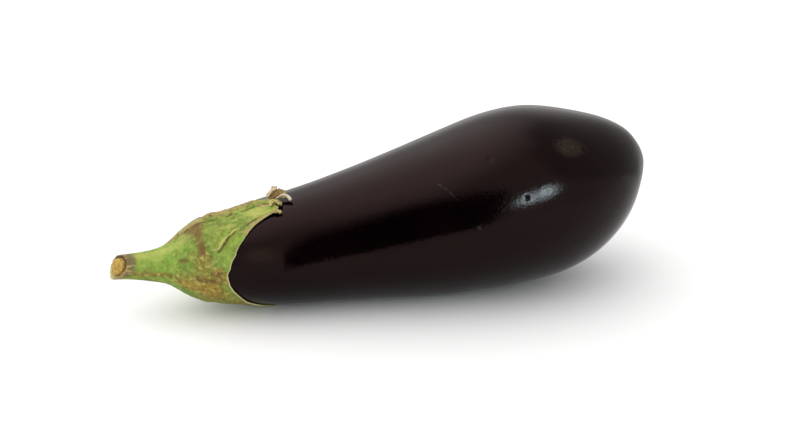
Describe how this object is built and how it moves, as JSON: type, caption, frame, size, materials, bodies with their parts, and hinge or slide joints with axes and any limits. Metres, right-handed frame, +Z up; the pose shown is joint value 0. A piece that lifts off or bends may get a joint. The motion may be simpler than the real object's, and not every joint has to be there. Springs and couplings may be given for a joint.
{
  "type": "eggplant",
  "caption": "Whole glossy purple-black eggplant lying on its belly, with a lobed green calyx and a thick cut stem.",
  "frame": {"origin": "under the middle of the whole, on the surface that it rests on", "axes": "+X from the cut stem to the blossom end, +Z up, with the belly's flat spot at Z = 0"},
  "size_m": [0.2452, 0.0802, 0.0813],
  "materials": {
    "skin": "smooth waxy skin, near-black purple, glossy",
    "calyx_green": "matt leathery green with brown bruises and a pale dry rim",
    "stem_green": "matt woody green stalk with a tan corky cut"
  },
  "bodies": {
    "root": {"fruit": "skin", "calyx": "calyx_green", "stem": "stem_green"}
  },
  "joints": []
}
